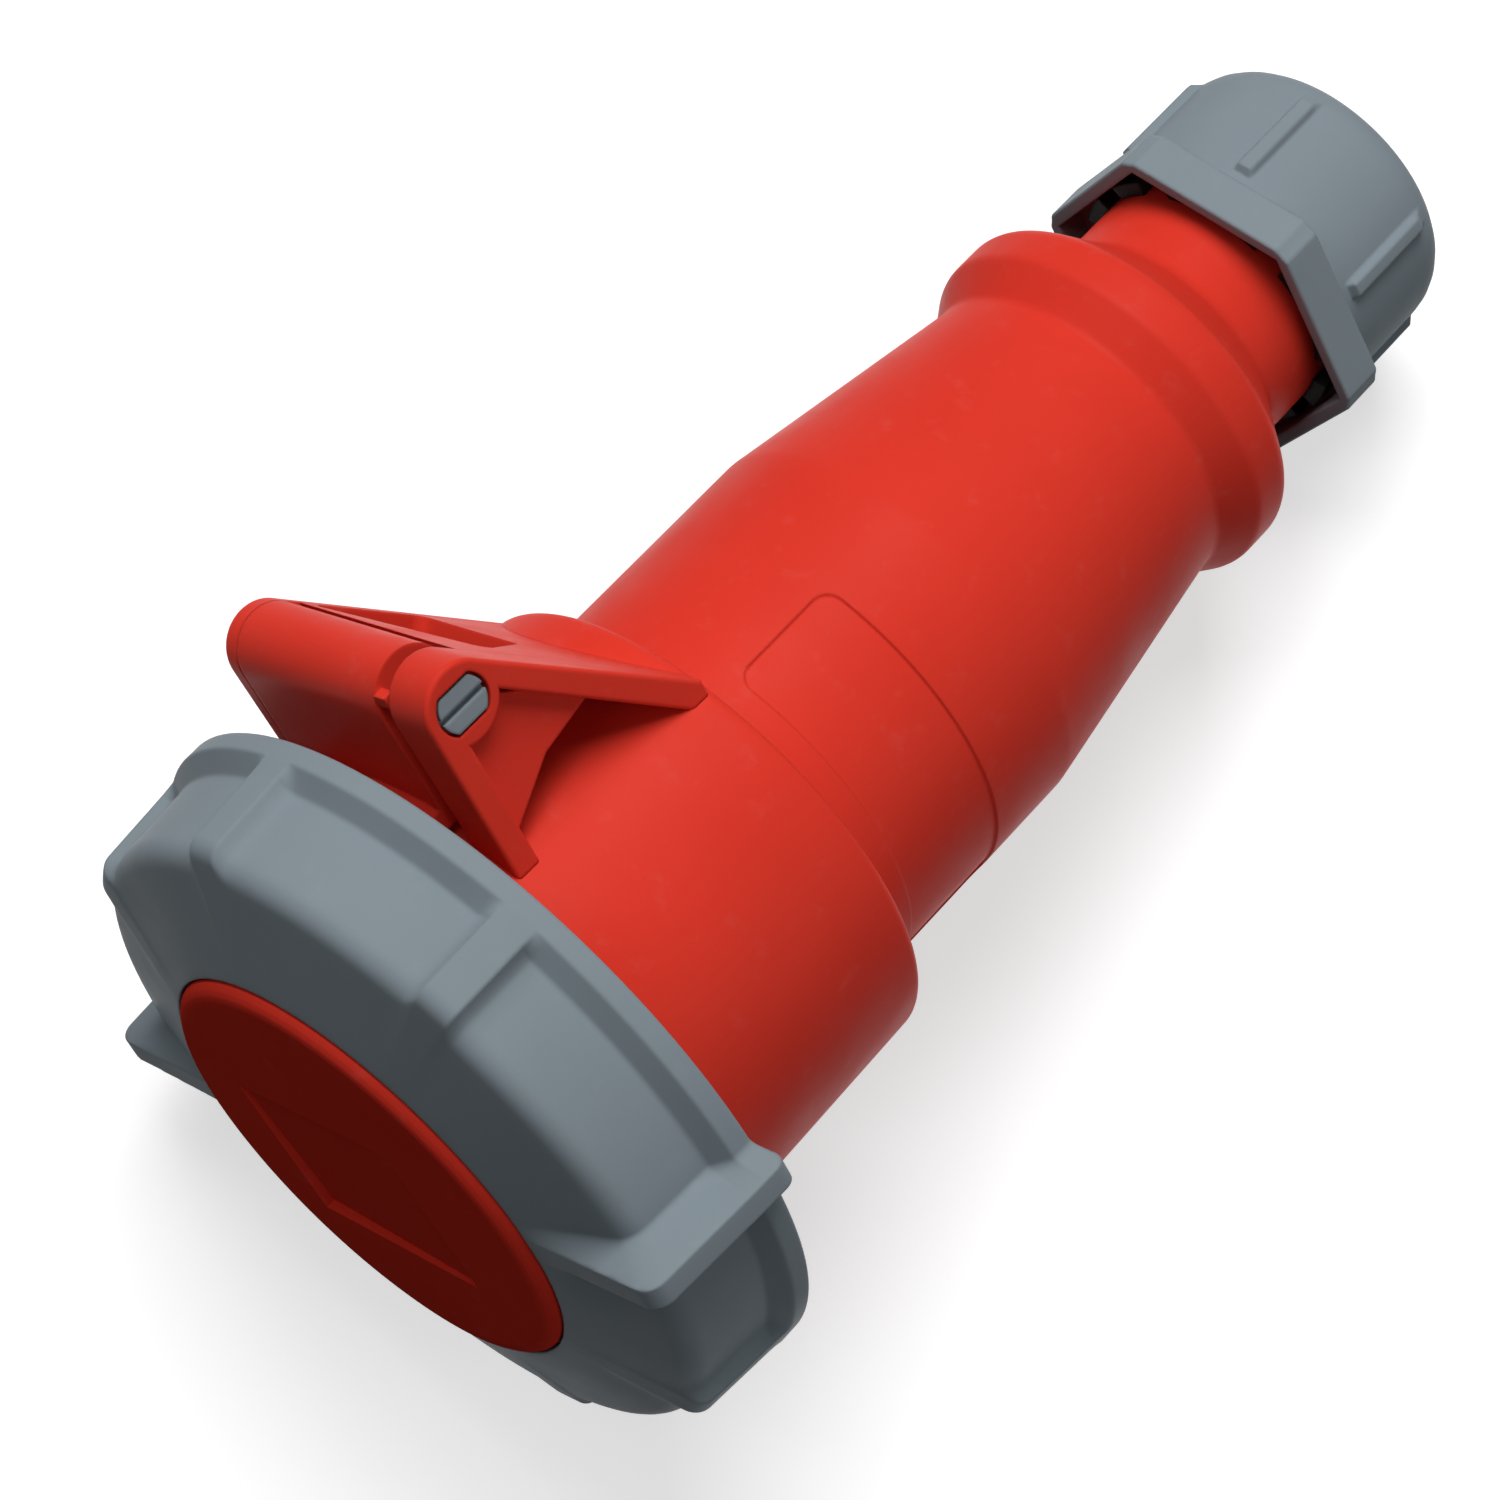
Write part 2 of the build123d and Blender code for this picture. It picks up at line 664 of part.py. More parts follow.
def contact(angle, bore_radius):
    """Turned contact sleeve with its shank and terminal block."""
    outer = bore_radius + contact_wall
    sleeve = rod(outer, contact_front_y, contact_floor_y + contact_wall * 2)
    groove_y = contact_front_y + spring_setback
    groove = rod(outer + 1, groove_y, groove_y + spring_width) - rod(outer - spring_depth, groove_y, groove_y + spring_width)
    sleeve = sleeve - groove
    shank = rod(shank_radius, contact_floor_y, block_front_y + 1)
    half = block_size / 2
    terminal = block(-half, half, block_front_y, block_rear_y, -half, half)
    bore = rod(bore_radius, contact_front_y - 1, contact_floor_y)
    wire_hole = rod(wire_hole_radius, block_rear_y - wire_hole_depth, block_rear_y + 1)
    screw_hole = Pos(0, terminal_screw_y, 0) * extrude(Circle(terminal_screw_radius), amount=half + 1)
    piece = sleeve + shank + terminal - bore - wire_hole - screw_hole
    return turn(angle) * (Pos(0, 0, contact_circle_radius) * piece)


def contact_spring(angle, bore_radius):
    """Spring ring round the mouth of one contact sleeve."""
    outer = bore_radius + contact_wall
    start = contact_front_y + spring_setback
    ring = rod(outer, start, start + spring_width) - rod(outer - spring_depth, start, start + spring_width)
    return turn(angle) * (Pos(0, 0, contact_circle_radius) * ring)


def terminal_screw(angle):
    """Slotted clamping screw of one terminal."""
    half = block_size / 2
    top = half + terminal_screw_proud
    screw = Pos(0, 0, top - terminal_screw_length) * extrude(Circle(terminal_screw_radius), amount=terminal_screw_length)
    slot = block(-terminal_screw_radius - 1, terminal_screw_radius + 1, -0.4, 0.4, top - 0.9, top + 1)
    return turn(angle) * (Pos(0, terminal_screw_y, contact_circle_radius) * (screw - slot))


def carrier_screw(angle):
    """Pan-head screw that joins the carrier's halves."""
    shank = rod(carrier_screw_radius, carrier_rear_y - carrier_screw_bite, cover_rear_y)
    head = rod(carrier_screw_head_radius, cover_rear_y, cover_rear_y + carrier_screw_head)
    slot = block(-carrier_screw_head_radius - 1, carrier_screw_head_radius + 1,
                 cover_rear_y + carrier_screw_head / 2, cover_rear_y + carrier_screw_head + 1, -0.4, 0.4)
    return around(carrier_screw_circle, angle) * (shank + head - slot)


def cable_seal():
    """Rubber bush that grips the cable."""
    return turned([
        (seal_inner_radius, seal_seat_y), (seal_bore_radius - seal_gap, seal_seat_y),
        (seal_bore_radius - seal_gap, seal_rear_y), (seal_inner_radius, seal_rear_y)],
        [((seal_inner_radius, seal_rear_y), 1.0), ((seal_inner_radius, seal_seat_y), 1.0)])


def clamp_cage():
    """Castellated ring on the neck, inside the nut's skirt."""
    inner = neck_radius + cage_gap
    # The ring bottoms on the shoulder where the neck steps down to its thread
    ring = rod(cage_radius, cage_front_y, cage_front_y + cage_length)
    ring = ring - rod(inner, cage_front_y, thread_start_y)
    ring = ring - rod(thread_radius + cage_gap, thread_start_y, cage_front_y + cage_length)
    for index in range(cage_teeth):
        slot = block(-cage_slot_width / 2, cage_slot_width / 2, cage_front_y, cage_front_y + cage_slot_depth,
                     0, cage_radius + 1)
        ring = ring - turn(index * full_turn / cage_teeth) * slot
    return ring


def thrust_washer():
    """Washer between the nut's shoulder and the seal."""
    return rod(washer_outer_radius, washer_front_y, washer_rear_y) - rod(washer_inner_radius, washer_front_y, washer_rear_y)


def hexagon(apothem, y_start, y_end):
    """Six-sided bar with a corner at the hinge side."""
    outline = RegularPolygon(apothem, nut_sides, major_radius=False)
    bar = extrude(Plane.XZ * outline, amount=-(y_end - y_start))
    return Pos(0, y_start, 0) * turn(dome_rib_angle) * bar


def gland_nut():
    """Nut with an open six-sided skirt and a ribbed dome."""
    skirt = hexagon(skirt_apothem, skirt_front_y, skirt_rear_y)
    skirt = skirt & rod(skirt_corner_radius - skirt_corner_cut, skirt_front_y, skirt_rear_y)
    skirt = fillet(skirt.faces().sort_by(Axis.Y)[-1].edges(), nut_edge_round)
    dome = turned(
        [(0, skirt_rear_y - 2), (dome_radius, skirt_rear_y - 2), (dome_radius, nut_rear_y), (0, nut_rear_y)],
        [((dome_radius, nut_rear_y), dome_round)])
    body = skirt + dome
    start = skirt_rear_y + dome_rib_start
    rib = block(-dome_rib_width / 2, dome_rib_width / 2, start, start + dome_rib_length,
                dome_radius - 3, dome_radius + dome_rib_height)
    for index in range(nut_sides):
        body = body + turn(dome_rib_angle + index * full_turn / nut_sides) * rib
    bore_radius = thread_radius + thread_gap
    hollow = turned([
        (0, skirt_rear_y - 2), (bore_radius, skirt_rear_y - 2), (bore_radius, washer_rear_y),
        (cable_way_radius, washer_rear_y), (cable_way_radius, nut_rear_y + 1), (0, nut_rear_y + 1)])
    skirt_hollow = hexagon(skirt_apothem - skirt_wall, skirt_front_y - 1, skirt_rear_y)
    return body - hollow - skirt_hollow


def depth_below(radius, half_width_deg, away_deg):
    """How far an outstanding edge reaches below the axis, turned away from straight down."""
    return radius * math.cos(math.radians(max(0.0, away_deg - half_width_deg)))


def rest_angles():
    """Roll and fall at which the ring's rim, a dome rib and a skirt corner all touch the ground."""
    corner_radius = skirt_corner_radius - skirt_corner_cut
    half_side = full_turn / nut_sides / 2
    corner_half = half_side - math.degrees(math.acos(skirt_apothem / corner_radius))
    rib_radius = dome_radius + dome_rib_height
    rib_half = math.degrees(math.asin(dome_rib_width / 2 / rib_radius))
    corner_reach = skirt_rear_y - ring_rear_y
    rib_reach = corner_reach + dome_rib_start + dome_rib_length
    low, high = 0.0, half_side
    while high - low > 0.001:
        middle = (low + high) / 2
        corner_drop = (flange_radius - depth_below(corner_radius, corner_half, half_side - middle)) / corner_reach
        rib_drop = (flange_radius - depth_below(rib_radius, rib_half, middle)) / rib_reach
        if corner_drop > rib_drop:
            low = middle
        else:
            high = middle
    return dome_rib_angle + middle, math.degrees(math.atan(corner_drop))


def rest_placement():
    """Turns the connector from its own axis to how it lies."""
    roll, fall = rest_angles()
    return Rot(-fall, 0, 0) * Rot(0, -roll, 0)


def build_nodes():
    """Every piece by its node name, on the connector's own axis."""
    sizes = contact_sizes()
    nodes = {
        "front_housing": front_housing(),
        "socket_collar": socket_collar(),
        "bayonet_lugs": bayonet_lugs(),
        "near_hinge_side": near_hinge_side(),
        "far_hinge_side": far_hinge_side(),
        "hinge_plate": hinge_plate(),
        "rear_sleeve": rear_sleeve(),
        "joint_o_ring": joint_o_ring(),
        "contact_carrier": contact_carrier(),
        "carrier_cover": carrier_cover(),
        "earth_contact": contact(*sizes[0]),
        "neutral_contact": contact(*sizes[1]),
        "phase_contact_1": contact(*sizes[2]),
        "phase_contact_2": contact(*sizes[3]),
        "phase_contact_3": contact(*sizes[4]),
        "contact_springs": Compound(children=[contact_spring(*size) for size in sizes]),
        "terminal_screws": Compound(children=[terminal_screw(angle) for angle, radius in sizes]),
        "carrier_screws": Compound(children=[carrier_screw(angle) for angle in carrier_screw_angles]),
        "cable_seal": cable_seal(),
        "clamp_cage": clamp_cage(),
        "hinge_pin": hinge_pin(),
        "lid_body": lid_body(),
        "lid_cap": lid_cap(),
        "lid_gasket": lid_gasket(),
        "bayonet_ring": bayonet_ring(),
        "thrust_washer": thrust_washer(),
        "gland_nut": gland_nut(),
    }
    return nodes


nodes = build_nodes()
turned_nodes = {name: rest_placement() * piece for name, piece in nodes.items()}
bounds = Compound(children=[Compound(piece.solids()) for piece in turned_nodes.values()]).bounding_box()
ground_middle = Vector(bounds.center().X, bounds.center().Y, bounds.min.Z)
placement = Pos(*(-ground_middle)) * rest_placement()

os.makedirs("parts", exist_ok=True)
for name, piece in nodes.items():
    export_step(placement * Compound(piece.solids()), f"parts/{name}.step")
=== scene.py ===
import bmesh
import bpy
import json
import math
from mathutils import Matrix, Vector


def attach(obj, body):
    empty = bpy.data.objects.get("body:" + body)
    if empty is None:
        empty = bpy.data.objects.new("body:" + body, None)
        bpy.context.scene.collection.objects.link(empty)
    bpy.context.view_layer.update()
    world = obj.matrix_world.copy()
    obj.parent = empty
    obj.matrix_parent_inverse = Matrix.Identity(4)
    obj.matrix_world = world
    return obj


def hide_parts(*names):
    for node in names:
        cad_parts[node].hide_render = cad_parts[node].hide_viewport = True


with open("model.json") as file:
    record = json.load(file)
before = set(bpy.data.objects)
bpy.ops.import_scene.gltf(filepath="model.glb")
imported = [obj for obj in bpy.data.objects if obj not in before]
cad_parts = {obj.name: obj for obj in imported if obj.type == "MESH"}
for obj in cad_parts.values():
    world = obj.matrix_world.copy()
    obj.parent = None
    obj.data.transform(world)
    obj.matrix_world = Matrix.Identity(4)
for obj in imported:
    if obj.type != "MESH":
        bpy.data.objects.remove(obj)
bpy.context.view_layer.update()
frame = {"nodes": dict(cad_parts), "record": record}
nodes = frame["nodes"]

# The connector's own axes: Y runs to the gland, Z to the hinge, X to the head of the hinge pin
ORIGIN = Vector((0.0019001, -0.0311491, 0.0416463))
AXIS_X = Vector((0.685724, 0.125932, 0.716885))
AXIS_Y = Vector((0.0, 0.984919, -0.173017))
AXIS_Z = Vector((-0.727862, 0.118642, 0.675382))
MILLIMETRE = 0.001


# Materials

def new_material(name):
    material = bpy.data.materials.new(name)
    material.use_nodes = True
    tree = material.node_tree
    shader = tree.nodes["Principled BSDF"]
    return material, tree, shader


def object_coordinates(tree):
    source = tree.nodes.new("ShaderNodeTexCoord")
    mapping = tree.nodes.new("ShaderNodeMapping")
    tree.links.new(source.outputs["Object"], mapping.inputs["Vector"])
    return mapping.outputs["Vector"]


def noise(tree, vector, scale, detail=4.0, roughness=0.55):
    node = tree.nodes.new("ShaderNodeTexNoise")
    node.inputs["Scale"].default_value = scale
    node.inputs["Detail"].default_value = detail
    node.inputs["Roughness"].default_value = roughness
    tree.links.new(vector, node.inputs["Vector"])
    return node.outputs["Fac"]


def spread(tree, value, low, high, out_low, out_high):
    """Stretches the part of a value between low and high over the out range."""
    node = tree.nodes.new("ShaderNodeMapRange")
    node.inputs["From Min"].default_value = low
    node.inputs["From Max"].default_value = high
    node.inputs["To Min"].default_value = out_low
    node.inputs["To Max"].default_value = out_high
    tree.links.new(value, node.inputs["Value"])
    return node.outputs["Result"]


def blend_colours(tree, factor, first, second):
    """Mixes two colours, each a tuple or a node's output."""
    node = tree.nodes.new("ShaderNodeMix")
    node.data_type = "RGBA"
    tree.links.new(factor, node.inputs[0])
    for socket, colour in ((node.inputs[6], first), (node.inputs[7], second)):
        if isinstance(colour, tuple):
            socket.default_value = (*colour, 1.0)
        else:
            tree.links.new(colour, socket)
    return node.outputs[2]


def bump(tree, shader, height, strength, distance, normal):
    """Fine relief laid over the given normal."""
    node = tree.nodes.new("ShaderNodeBump")
    node.inputs["Strength"].default_value = strength
    node.inputs["Distance"].default_value = distance
    tree.links.new(height, node.inputs["Height"])
    tree.links.new(normal, node.inputs["Normal"])
    tree.links.new(node.outputs["Normal"], shader.inputs["Normal"])


def soft_edges(tree, radius):
    node = tree.nodes.new("ShaderNodeBevel")
    node.samples = 4
    node.inputs["Radius"].default_value = radius
    return node.outputs["Normal"]


def moulded_plastic(name, colour, tint, roughness, specular, edge=0.0005):
    """Moulded plastic: slow colour drift, specks of dust, uneven gloss and a fine grain."""
    material, tree, shader = new_material(name)
    vector = object_coordinates(tree)
    slow = noise(tree, vector, scale=38.0, detail=3.0)
    drift = spread(tree, slow, 0.35, 0.65, 0.0, 1.0)
    base = blend_colours(tree, drift, colour, tint)
    specks = noise(tree, vector, scale=260.0, detail=6.0, roughness=0.65)
    dust = spread(tree, specks, 0.58, 0.80, 0.0, 0.025)
    base = blend_colours(tree, dust, base, DUST_COLOUR)
    tree.links.new(base, shader.inputs["Base Color"])
    patches = noise(tree, vector, scale=120.0, detail=5.0, roughness=0.6)
    gloss = spread(tree, patches, 0.3, 0.7, roughness - 0.05, roughness + 0.06)
    tree.links.new(gloss, shader.inputs["Roughness"])
    shader.inputs["Specular IOR Level"].default_value = specular
    grain = noise(tree, vector, scale=2600.0, detail=2.0, roughness=0.5)
    bump(tree, shader, grain, 0.25, GRAIN_HEIGHT, soft_edges(tree, edge))
    return material


def metal(name, colour, roughness):
    """Machined metal with a slight tarnish and uneven gloss."""
    material, tree, shader = new_material(name)
    vector = object_coordinates(tree)
    drift = spread(tree, noise(tree, vector, scale=400.0), 0.3, 0.7, 0.0, 1.0)
    tarnished = tuple(channel * 0.85 for channel in colour)
    base = blend_colours(tree, drift, colour, tarnished)
    tree.links.new(base, shader.inputs["Base Color"])
    shader.inputs["Metallic"].default_value = 1.0
    patches = noise(tree, vector, scale=900.0)
    gloss = spread(tree, patches, 0.3, 0.7, roughness - 0.06, roughness + 0.08)
    tree.links.new(gloss, shader.inputs["Roughness"])
    grain = noise(tree, vector, scale=1800.0, detail=3.0)
    bump(tree, shader, grain, 0.2, GRAIN_HEIGHT, soft_edges(tree, 0.0002))
    return material


def rubber(name, colour, roughness):
    """Matt rubber with paler patches."""
    material, tree, shader = new_material(name)
    vector = object_coordinates(tree)
    drift = spread(tree, noise(tree, vector, scale=90.0), 0.3, 0.7, 0.0, 1.0)
    paler = tuple(channel * 1.6 for channel in colour)
    base = blend_colours(tree, drift, colour, paler)
    tree.links.new(base, shader.inputs["Base Color"])
    shader.inputs["Roughness"].default_value = roughness
    grain = noise(tree, vector, scale=1500.0)
    bump(tree, shader, grain, 0.35, 2 * GRAIN_HEIGHT, soft_edges(tree, 0.0003))
    return material


GRAIN_HEIGHT = 0.00002
DUST_COLOUR = (0.8, 0.75, 0.72)
RED = (0.66, 0.038, 0.022)
RED_TINT = (0.63, 0.035, 0.020)
GREY = (0.215, 0.256, 0.284)
GREY_TINT = (0.205, 0.245, 0.272)
BLACK = (0.012, 0.012, 0.013)
BLACK_TINT = (0.018, 0.018, 0.019)

red = moulded_plastic("moulded_red", RED, RED_TINT, roughness=0.40, specular=0.035)
matt_red = moulded_plastic("moulded_matt_red", RED, RED_TINT, roughness=0.50, specular=0.0,
                           edge=0.0002)
grey = moulded_plastic("moulded_grey", GREY, GREY_TINT, roughness=0.42, specular=0.012)
dark = moulded_plastic("moulded_dark", BLACK, BLACK_TINT, roughness=0.45, specular=0.04)
brass = metal("turned_brass", (0.78, 0.60, 0.32), roughness=0.28)
steel = metal("plated_steel", (0.56, 0.57, 0.58), roughness=0.32)
black_rubber = rubber("black_rubber", (0.012, 0.012, 0.012), roughness=0.7)

FINISH = {
    "red_shell": red,
    "grey_shell": grey,
    "dark_insulation": dark,
    "contact_brass": brass,
    "fastener_steel": steel,
    "seal_rubber": black_rubber,
}
for subpart in frame["record"]["subparts"]:
    mesh = nodes[subpart["node"]].data
    mesh.materials.clear()
    mesh.materials.append(FINISH[subpart["material_slot"]])


# Pieces turned round the connector's axis. Their profiles are in millimetres

FULL_TURN = 2 * math.pi
MERGE_DISTANCE = 0.000002
FLAT_OPENING = 0.02
SHARP_OPENING = 0.05


def on_axes(x, y, z):
    """A point given along the connector's own axes, in millimetres."""
    return ORIGIN + (AXIS_X * x + AXIS_Y * y + AXIS_Z * z) * MILLIMETRE


def in_place(radius, y, angle):
    """A point given by its radius, its place along the axis and its angle from the hinge side."""
    return on_axes(radius * math.sin(angle), y, radius * math.cos(angle))


def ease(t):
    """0 to 1 along a soft step."""
    t = min(1.0, max(0.0, t))
    return t * t * (3.0 - 2.0 * t)


def corner_arc(corner, into, out, rounding, arc_steps):
    """Arc of the given radius between the two sides of a corner."""
    opening = into.angle(out)
    reach = rounding / math.tan(opening / 2)
    middle = (into + out).normalized()
    centre = corner + middle * (rounding / math.sin(opening / 2))
    start = corner + into * reach - centre
    end = corner + out * reach - centre
    sweep = math.pi - opening
    arc = []
    for step in range(arc_steps + 1):
        t = step / arc_steps
        first = math.sin((1 - t) * sweep) / math.sin(sweep)
        second = math.sin(t * sweep) / math.sin(sweep)
        arc.append(centre + start * first + end * second)
    return arc


def rounded_path(corners, spans, arc_steps=7):
    """Closed path through (radius, y, rounding) corners, with an arc at each corner.

    Every corner has the same count of points, also where it is sharp, and the side after it is
    cut into its own count of spans, so that paths of like corners match point by point.
    """
    count = len(corners)
    arcs = []
    for index in range(count):
        r0, y0, _ = corners[index - 1]
        r1, y1, rounding = corners[index]
        r2, y2, _ = corners[(index + 1) % count]
        into = Vector((r0 - r1, y0 - y1)).normalized()
        out = Vector((r2 - r1, y2 - y1)).normalized()
        corner = Vector((r1, y1))
        opening = into.angle(out)
        if rounding > 0.0 and SHARP_OPENING < opening < math.pi - FLAT_OPENING:
            arcs.append(corner_arc(corner, into, out, rounding, arc_steps))
        else:
            arcs.append([corner] * (arc_steps + 1))
    points = []
    for index, arc in enumerate(arcs):
        points.extend(arc)
        end = arcs[(index + 1) % count][0]
        for step in range(1, spans[index]):
            points.append(arc[-1].lerp(end, step / spans[index]))
    return points


def finish_mesh(name, bm, material, sharp_deg=38.0):
    """Merges doubles, turns the faces outwards, smooths between sharp edges, makes the object."""
    bmesh.ops.remove_doubles(bm, verts=bm.verts, dist=MERGE_DISTANCE)
    bmesh.ops.dissolve_degenerate(bm, dist=MERGE_DISTANCE / 2, edges=bm.edges)
    bmesh.ops.recalc_face_normals(bm, faces=bm.faces)
    for face in bm.faces:
        face.smooth = True
    for edge in bm.edges:
        if len(edge.link_faces) == 2 and edge.calc_face_angle(0.0) > math.radians(sharp_deg):
            edge.smooth = False
    mesh = bpy.data.meshes.new(name)
    bm.to_mesh(mesh)
    bm.free()
    mesh.materials.append(material)
    piece = bpy.data.objects.new(name, mesh)
    bpy.context.scene.collection.objects.link(piece)
    return piece


def spin_round(bm, geometry, angle, steps, merge):
    bmesh.ops.spin(bm, geom=geometry, cent=(0, 0, 0), axis=(0, 1, 0), dvec=(0, 0, 0),
                   angle=angle, steps=steps, use_merge=merge)


def spun(path, angles, shape):
    """Closed outline spun round the axis, each vertex then put where the shape function says."""
    bm = bmesh.new()
    place = bm.verts.layers.int.new("place")
    loop = []
    for index, point in enumerate(path):
        vertex = bm.verts.new((point.x, point.y, 0.0))
        vertex[place] = index
        loop.append(vertex)
    edges = [bm.edges.new((loop[index - 1], loop[index])) for index in range(len(loop))]
    count = len(angles)
    spin_round(bm, loop + edges, FULL_TURN, count, merge=True)
    for vertex in bm.verts:
        step = round(math.atan2(vertex.co.z, vertex.co.x) / FULL_TURN * count) % count
        radius, y = shape(vertex[place], angles[step])
        vertex.co = in_place(radius, y, angles[step])
    return bm


def spread_angles(step_deg, dense):
    """Angles round the axis in radians, a step apart.

    They lie closer together over each (middle, half width, step) in degrees.
    """
    angles = set()
    for index in range(round(360 / step_deg)):
        angle = index * step_deg
        if not any(abs((angle - middle + 180) % 360 - 180) < half for middle, half, _ in dense):
            angles.add(round(angle, 4))
    for middle, half, step in dense:
        steps = round(2 * half / step)
        for index in range(steps + 1):
            angles.add(round((middle - half + index * 2 * half / steps) % 360, 4))
    return [math.radians(angle) for angle in sorted(angles)]


def away(angle, middle_deg):
    """Angle from a middle, in radians, between minus and plus half a turn."""
    return (angle - math.radians(middle_deg) + math.pi) % FULL_TURN - math.pi


# Bayonet ring: sloped front, band, flange, six ribs and two leaning wings
RING_SPANS = (3, 4, 14, 26, 8, 5, 6, 10, 6, 3)
RING_FRONT = ((26.0, -58.6, 0.3), (30.1, -58.6, 0.0), (30.1, -60.0, 0.15))
RING_BORE = ((39.4, -38.4, 0.4), (39.4, -55.6, 0.0), (26.0, -55.6, 0.3))
BAND = RING_FRONT + ((45.9, -55.5, 3.2), (46.6, -43.5, 0.9), (49.0, -41.3, 0.6),
                     (49.0, -38.4, 0.6)) + RING_BORE
RIB = RING_FRONT + ((47.8, -55.2, 2.6), (48.7, -43.5, 0.0), (48.95, -41.3, 0.0),
                    (49.0, -38.4, 0.6)) + RING_BORE
WING = RING_FRONT + ((51.6, -59.6, 2.6), (52.7, -43.5, 0.0), (52.8, -41.3, 0.0),
                     (52.9, -37.5, 1.8)) + RING_BORE
RIB_ANGLES = (0, 45, 135, 180, 225, 315)
RIB_RADIUS = 46.0
RIB_HALF_WIDTH = 4.4
RIB_FLANK = 2.2
WING_ANGLES = (92.6, 272.6)
WING_INNER_RADIUS = 26.0
WING_HALF_WIDTH = 4.2
WING_FLANK = 2.6
NEAR_MIDDLE = 0.4

# Bayonet ramps inside the ring: section as (radius, y)
RAMP_SECTION = ((37.1, -42.7), (39.6, -42.7), (39.6, -39.7), (37.1, -39.7))
RAMP_STEPS = 12
RAMP_SPAN = 22.0


def raised_share(angle, middles, radius, half_width, flank):
    """1 on a rib or wing, 0 on the band, with a hollow curve over the width of its flank."""
    share = 0.0
    for middle in middles:
        turn = away(angle, middle)
        if abs(turn) < NEAR_MIDDLE:
            rise = (half_width - abs(radius * math.sin(turn))) / flank
            share = max(share, min(1.0, max(0.0, rise)) ** 2)
    return share


def build_ring():
    band, rib, wing = (rounded_path(corners, RING_SPANS) for corners in (BAND, RIB, WING))
    dense = [(middle, 4.6, 0.2) for middle in RIB_ANGLES]
    dense += [(middle, 8.0, 0.22) for middle in WING_ANGLES]

    def shape(index, angle):
        on_rib = raised_share(angle, RIB_ANGLES, RIB_RADIUS, RIB_HALF_WIDTH, RIB_FLANK)
        point = band[index].lerp(rib[index], on_rib)
        radius = max(wing[index].x, WING_INNER_RADIUS)
        on_wing = raised_share(angle, WING_ANGLES, radius, WING_HALF_WIDTH, WING_FLANK)
        point = point.lerp(wing[index], on_wing)
        return point.x, point.y

    return finish_mesh("ring_body", spun(band, spread_angles(2.5, dense), shape), grey)


def build_ramp(name, start_deg):
    bm = bmesh.new()
    start = math.radians(start_deg)
    corners = []
    for radius, y in RAMP_SECTION:
        corners.append(bm.verts.new((radius * math.sin(start), y, radius * math.cos(start))))
    face = bm.faces.new(corners)
    geometry = [face] + list(face.edges) + list(face.verts)
    spin_round(bm, geometry, math.radians(RAMP_SPAN), RAMP_STEPS, merge=False)
    for vertex in bm.verts:
        x, y, z = vertex.co
        vertex.co = in_place(math.hypot(x, z), y, math.atan2(x, z))
    return finish_mesh(name, bm, grey)


# Lid cap: flat disc with a steep rounded rim and a pocket whose floor slopes up to one corner
CAP_FACE_Y = -61.35
CAP = ((27.2, CAP_FACE_Y, 0.0), (27.9, CAP_FACE_Y, 0.0), (28.6, -61.15, 0.0),
       (29.2, -60.75, 0.0), (29.7, -60.15, 0.0), (29.9, -59.5, 0.0), (29.9, -58.9, 0.2),
       (25.6, -58.9, 0.0), (25.6, -55.3, 0.2))
CAP_SPANS = (1, 3, 3, 3, 3, 4, 4, 4, 1)
CAP_ARC_STEPS = 4
CAP_STEPS = 120

# Corners of the pocket as (x, z, depth)
POCKET = ((-17.62, 9.25, 0.55), (-16.98, -12.06, 1.25), (11.85, -14.62, 0.55),
          (10.73, 7.67, 0.02))
POCKET_DRAFT = 0.35


